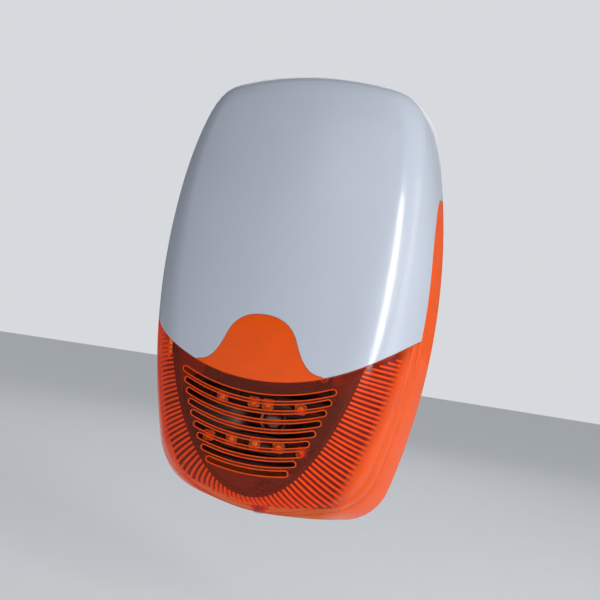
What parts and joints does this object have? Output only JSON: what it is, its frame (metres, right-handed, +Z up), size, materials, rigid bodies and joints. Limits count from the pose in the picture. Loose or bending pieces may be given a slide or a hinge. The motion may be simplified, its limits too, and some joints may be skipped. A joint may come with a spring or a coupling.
{
  "type": "alarm siren",
  "caption": "Wall-mounted alarm siren and strobe: a white hinged cover with an amber lens and sound slots over a flat base with horn, battery and circuit board.",
  "frame": {"origin": "centre of the base's flat back, on the wall", "axes": "+X to the viewer's right of the front, +Y into the wall, +Z up; the front faces -Y"},
  "size_m": [0.186, 0.0718, 0.29],
  "materials": {
    "aluminium": "can",
    "amber_plastic": "gloss, translucent",
    "base_plastic": "fine grain",
    "black_plastic": "satin",
    "black_resin": "satin",
    "black_wire": "insulation",
    "board_resin": "solder-mask gloss",
    "brass": "nickel-brass tabs",
    "green_plastic": "satin",
    "grey_plastic": "satin",
    "led_resin": "clear amber",
    "red_wire": "insulation",
    "relay_plastic": "satin",
    "rubber": "matte",
    "steel": "zinc plated",
    "white_plastic": "gloss"
  },
  "bodies": {
    "base": {"battery": "grey_plastic", "battery_lead_black": "black_wire", "battery_lead_red": "red_wire", "battery_socket": "base_plastic", "battery_strap": "steel", "battery_tab_negative": "brass", "battery_tab_positive": "brass", "board_screw_1": "steel", "board_screw_2": "steel", "board_screw_3": "steel", "board_screw_4": "steel", "cable_grommet": "rubber", "capacitor_main": "black_plastic", "capacitor_small": "black_plastic", "control_chip": "black_resin", "driver_diaphragm": "aluminium", "driver_housing": "black_plastic", "driver_magnet": "steel", "driver_transistor": "black_resin", "fuse": "brass", "hinge_pin_left": "steel", "hinge_pin_right": "steel", "horn_lead_black": "black_wire", "horn_lead_red": "red_wire", "horn_screw_left": "steel", "horn_screw_right": "steel", "led_lower_1": "led_resin", "led_lower_2": "led_resin", "led_lower_3": "led_resin", "led_lower_4": "led_resin", "led_lower_5": "led_resin", "led_upper_1": "led_resin", "led_upper_2": "led_resin", "led_upper_3": "led_resin", "led_upper_4": "led_resin", "main_board": "board_resin", "relay": "relay_plastic", "rim_seal": "rubber", "siren_horn": "black_plastic", "strap_screw_left": "steel", "strap_screw_right": "steel", "strobe_board_lower": "black_resin", "strobe_board_upper": "black_resin", "strobe_lead": "black_wire", "strobe_socket": "base_plastic", "tamper_switch": "black_plastic", "terminal_block": "green_plastic", "wall_base": "base_plastic"},
    "cover": {"top_cover": "white_plastic", "strobe_lens": "amber_plastic", "lock_nut": "steel", "tongue_screw": "steel"},
    "cover_screw": {"cover_screw": "steel"},
    "tamper_plunger": {"tamper_plunger": "red_wire"}
  },
  "joints": [
    {"name": "cover_hinge", "type": "hinge", "parent": "base", "child": "cover", "pos_m": [0, -0.0225, 0.1335], "axis": [-1, 0, 0], "range_deg": [0, 45]},
    {"name": "cover_screw_turn", "type": "hinge", "parent": "cover", "child": "cover_screw", "pos_m": [0, -0.02, -0.1428], "axis": [0, 0, 1], "continuous": true},
    {"name": "tamper_press", "type": "slide", "parent": "base", "child": "tamper_plunger", "axis": [0, 1, 0], "range_m": [0, 0.0025], "stiffness_N_per_m": 200, "springref_m": -0.002}
  ]
}
